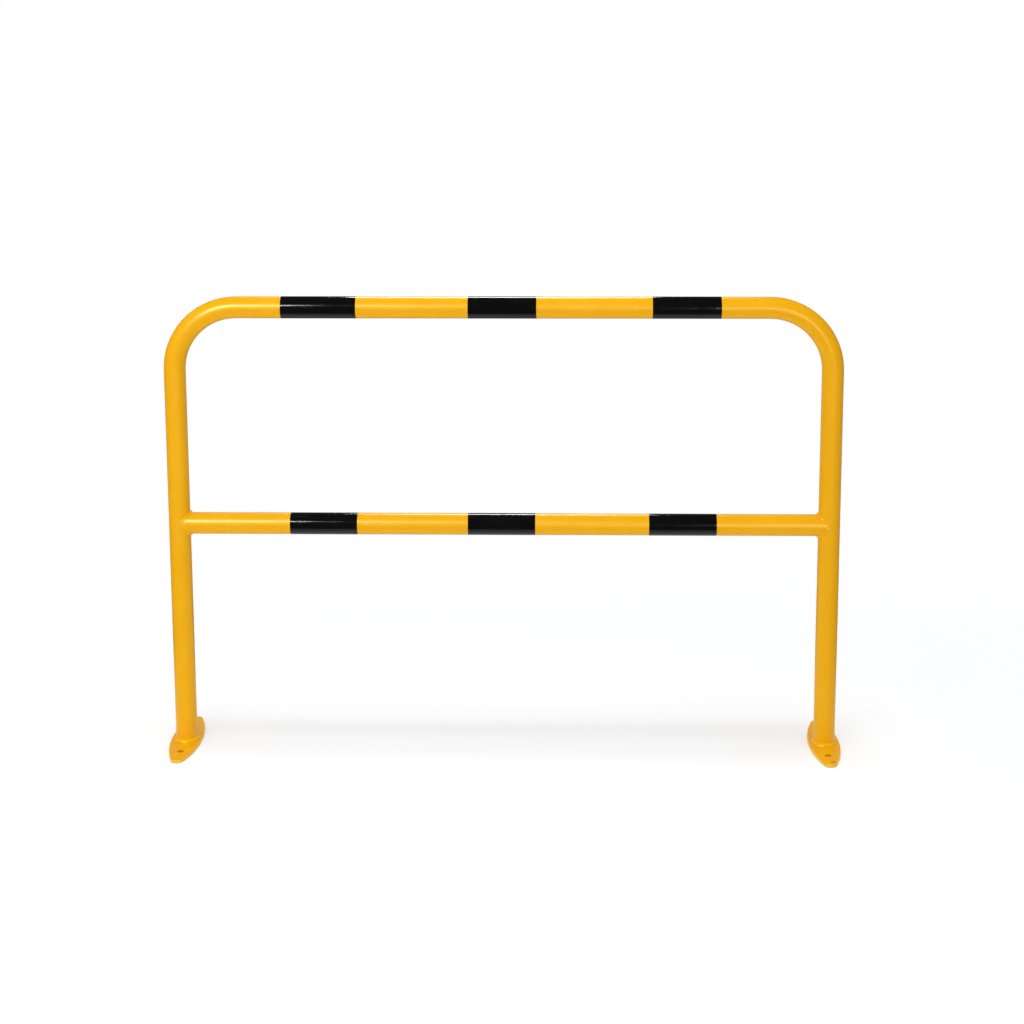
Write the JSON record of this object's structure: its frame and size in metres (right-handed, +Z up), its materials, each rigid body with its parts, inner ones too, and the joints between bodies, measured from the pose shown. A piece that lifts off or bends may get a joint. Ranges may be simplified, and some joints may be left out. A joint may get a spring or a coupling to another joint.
{
  "type": "hoop barrier",
  "caption": "Floor-mounted hoop barrier: bent steel tube with a welded cross rail, oval base plates and black hazard bands on yellow powder coat.",
  "frame": {"origin": "on the floor, midway between the legs, under the middle of the hoop's tube", "axes": "+X along the barrier, from the left leg to the right leg as the picture shows it; +Y from the front to the back; +Z up"},
  "size_m": [1.5218, 0.27, 1.0303],
  "materials": {
    "yellow_coat": "golden yellow powder coat with a fine orange peel, semi-gloss",
    "black_film": "black self-adhesive vinyl film, satin to glossy"
  },
  "bodies": {
    "root": {"hoop_tube": "yellow_coat", "cross_rail": "yellow_coat", "base_plate_left": "yellow_coat", "base_plate_right": "yellow_coat", "base_weld_left": "yellow_coat", "base_weld_right": "yellow_coat", "rail_weld_left": "yellow_coat", "rail_weld_right": "yellow_coat", "top_band_left": "black_film", "top_band_middle": "black_film", "top_band_right": "black_film", "rail_band_left": "black_film", "rail_band_middle": "black_film", "rail_band_right": "black_film"}
  },
  "joints": []
}
